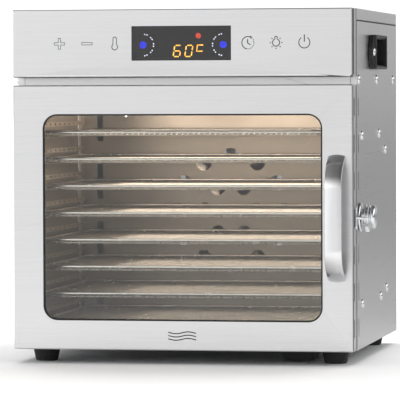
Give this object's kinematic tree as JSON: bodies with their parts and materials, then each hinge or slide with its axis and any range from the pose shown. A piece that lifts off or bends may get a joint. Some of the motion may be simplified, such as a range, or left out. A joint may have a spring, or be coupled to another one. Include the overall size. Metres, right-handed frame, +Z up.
{
  "type": "food dehydrator",
  "caption": "Countertop food dehydrator: brushed steel cabinet, glazed side-hinged door with bow handle and side latch, stacked wire trays, rear fan and ring heater.",
  "frame": {"origin": "middle of the footprint of the whole part, on the plane that the feet stand on", "axes": "+X to the right as the door is faced, +Y from the door to the back, +Z up"},
  "size_m": [0.3404, 0.3304, 0.326],
  "materials": {
    "brushed_stainless": "long-grain brushed stainless steel sheet",
    "liner_stainless": "fine brushed stainless steel sheet, warm grey",
    "tray_wire": "bright stainless steel wire",
    "chromed_metal": "polished chrome plate",
    "zinc_steel": "plain zinc-plated steel",
    "black_moulding": "fine-textured black moulded plastic",
    "foot_rubber": "moulded black rubber",
    "seal_silicone": "grey silicone rubber",
    "tempered_glass": "clear tempered glass",
    "lamp_glass": "clear ribbed lamp lens",
    "display_black": "smoked gloss acrylic",
    "circuit_board": "green epoxy board with components",
    "motor_grey": "painted motor shell and heating wire"
  },
  "bodies": {
    "cabinet": {"base_plate": "brushed_stainless", "right_side_panel": "brushed_stainless", "left_side_panel": "brushed_stainless", "front_frame": "brushed_stainless", "top_cover": "brushed_stainless", "back_panel": "brushed_stainless", "control_fascia": "brushed_stainless", "chamber_liner": "liner_stainless", "rear_baffle": "liner_stainless", "tray_rack_right": "tray_wire", "tray_rack_left": "tray_wire", "latch_rosette": "chromed_metal", "upper_hinge_cabinet_leaf": "chromed_metal", "upper_hinge_pin": "chromed_metal", "lower_hinge_cabinet_leaf": "chromed_metal", "lower_hinge_pin": "chromed_metal", "temperature_probe": "chromed_metal", "motor_bracket": "zinc_steel", "upper_heater_bracket": "zinc_steel", "lower_heater_bracket": "zinc_steel", "right_handle": "black_moulding", "left_handle": "black_moulding", "display_module": "black_moulding", "thermal_cutout": "black_moulding", "power_inlet": "black_moulding", "front_left_foot": "foot_rubber", "front_right_foot": "foot_rubber", "rear_left_foot": "foot_rubber", "rear_right_foot": "foot_rubber", "underside_block": "foot_rubber", "interior_lamp": "lamp_glass", "display_window": "display_black", "control_board": "circuit_board", "power_board": "circuit_board", "fan_motor": "motor_grey", "heater_element": "motor_grey"},
    "door": {"door_frame": "brushed_stainless", "door_inner_panel": "liner_stainless", "door_glass": "tempered_glass", "glass_retainer": "black_moulding", "door_seal": "seal_silicone", "door_handle": "brushed_stainless", "upper_hinge_door_leaf": "chromed_metal", "lower_hinge_door_leaf": "chromed_metal", "latch_keeper": "chromed_metal"},
    "latch": {"latch_hook": "chromed_metal", "latch_knob": "chromed_metal"},
    "fan": {"fan_blades": "zinc_steel"},
    "tray_1_body": {"tray_1": "tray_wire"},
    "tray_2_body": {"tray_2": "tray_wire"},
    "tray_3_body": {"tray_3": "tray_wire"},
    "tray_4_body": {"tray_4": "tray_wire"},
    "tray_5_body": {"tray_5": "tray_wire"},
    "tray_6_body": {"tray_6": "tray_wire"},
    "tray_7_body": {"tray_7": "tray_wire"},
    "tray_8_body": {"tray_8": "tray_wire"},
    "drip_tray_body": {"drip_tray": "liner_stainless"}
  },
  "joints": [
    {"name": "door_hinge", "type": "hinge", "parent": "cabinet", "child": "door", "pos_m": [-0.1656, -0.11565, 0.13475], "axis": [0, 0, -1], "range_deg": [0, 170]},
    {"name": "latch_turn", "type": "hinge", "parent": "cabinet", "child": "latch", "pos_m": [0.1574, -0.09915, 0.13475], "axis": [1, 0, 0], "range_deg": [0, 180]},
    {"name": "fan_spin", "type": "hinge", "parent": "cabinet", "child": "fan", "pos_m": [-0.0046, 0.13065, 0.133], "axis": [0, 1, 0], "continuous": true},
    {"name": "tray_1_slide", "type": "slide", "parent": "cabinet", "child": "tray_1_body", "axis": [0, -1, 0], "range_m": [0, 0.008]},
    {"name": "tray_2_slide", "type": "slide", "parent": "cabinet", "child": "tray_2_body", "axis": [0, -1, 0], "range_m": [0, 0.008]},
    {"name": "tray_3_slide", "type": "slide", "parent": "cabinet", "child": "tray_3_body", "axis": [0, -1, 0], "range_m": [0, 0.008]},
    {"name": "tray_4_slide", "type": "slide", "parent": "cabinet", "child": "tray_4_body", "axis": [0, -1, 0], "range_m": [0, 0.008]},
    {"name": "tray_5_slide", "type": "slide", "parent": "cabinet", "child": "tray_5_body", "axis": [0, -1, 0], "range_m": [0, 0.008]},
    {"name": "tray_6_slide", "type": "slide", "parent": "cabinet", "child": "tray_6_body", "axis": [0, -1, 0], "range_m": [0, 0.008]},
    {"name": "tray_7_slide", "type": "slide", "parent": "cabinet", "child": "tray_7_body", "axis": [0, -1, 0], "range_m": [0, 0.008]},
    {"name": "tray_8_slide", "type": "slide", "parent": "cabinet", "child": "tray_8_body", "axis": [0, -1, 0], "range_m": [0, 0.008]},
    {"name": "drip_tray_slide", "type": "slide", "parent": "cabinet", "child": "drip_tray_body", "axis": [0, -1, 0], "range_m": [0, 0.008]}
  ]
}
